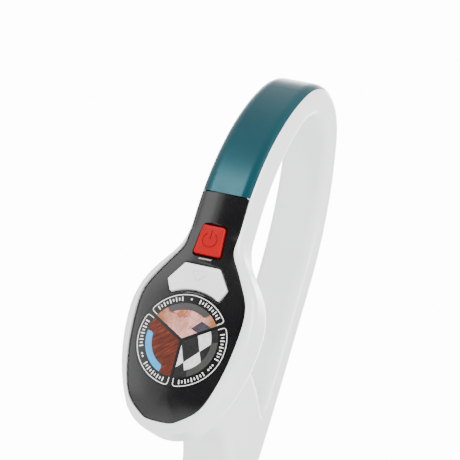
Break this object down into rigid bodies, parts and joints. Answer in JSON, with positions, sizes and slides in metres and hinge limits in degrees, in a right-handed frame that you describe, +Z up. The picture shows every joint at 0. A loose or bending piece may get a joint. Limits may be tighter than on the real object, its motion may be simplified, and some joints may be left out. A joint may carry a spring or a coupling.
{
  "type": "steam mop loop handle",
  "caption": "Closed-loop handle for an upright steam mop, with a dial of floor types, a power button, a mode button, a soft grip and a latching spigot for the pole.",
  "frame": {"origin": "centre of the spigot's lower end", "axes": "+Z up the pole axis, towards the crest of the loop; the control panel faces -Y; +X to the user's right when facing the panel"},
  "size_m": [0.0578, 0.1082, 0.2495],
  "materials": {
    "white_shell": "polished injection-moulded ABS",
    "black_panel": "piano black",
    "teal_grip": "satin soft-touch",
    "grey_moulding": "plain moulded",
    "power_red": "polished",
    "button_white": "satin",
    "stone_print": "printed film under gloss",
    "wood_print": "printed film under gloss",
    "tile_print": "printed film under gloss",
    "light_guide_unlit": "smoked acrylic",
    "light_guide_lit": "lit acrylic",
    "circuit_board": "green solder mask",
    "component_black": "moulded package",
    "connector_white": "nylon",
    "led_lens": "clear epoxy",
    "spring_steel": "drawn wire",
    "screw_steel": "zinc plated",
    "cable_jacket": "PVC jacket",
    "contact_brass": "turned"
  },
  "bodies": {
    "handle": {"loop_frame": "white_shell", "rear_cover": "white_shell", "neck_cover": "white_shell", "soft_grip": "teal_grip", "grip_carrier": "grey_moulding", "control_panel": "black_panel", "power_spring": "spring_steel", "select_spring": "spring_steel", "power_switch": "component_black", "select_switch": "component_black", "button_guide": "grey_moulding", "control_board": "circuit_board", "board_leds": "led_lens", "board_components": "component_black", "board_header": "connector_white", "board_plug": "connector_white", "board_screws": "screw_steel", "wiring_loom": "cable_jacket", "spigot": "grey_moulding", "neck_collar": "grey_moulding", "spigot_connector": "component_black", "contact_sockets": "contact_brass", "latch_spring": "spring_steel", "rear_screws": "screw_steel", "stone_inlay": "stone_print", "wood_inlay": "wood_print", "tile_inlay": "tile_print", "stone_light_guide": "light_guide_unlit", "wood_light_guide": "light_guide_lit", "tile_light_guide": "light_guide_unlit", "dial_plate": "black_panel", "light_shield": "grey_moulding"},
    "power_button": {"power_button": "power_red"},
    "select_button": {"select_button": "button_white"},
    "latch_button": {"latch_button": "button_white"}
  },
  "joints": [
    {"name": "power_press", "type": "slide", "parent": "handle", "child": "power_button", "axis": [0, 1, 0], "range_m": [0, 0.0015], "stiffness_N_per_m": 400, "springref_m": -0.0006, "deforming": ["power_spring"]},
    {"name": "select_press", "type": "slide", "parent": "handle", "child": "select_button", "axis": [0, 1, 0], "range_m": [0, 0.0015], "stiffness_N_per_m": 400, "springref_m": -0.0006, "deforming": ["select_spring"]},
    {"name": "latch_press", "type": "slide", "parent": "handle", "child": "latch_button", "axis": [0, 1, 0], "range_m": [0, 0.0024], "stiffness_N_per_m": 600, "springref_m": -0.001, "deforming": ["latch_spring"]}
  ]
}
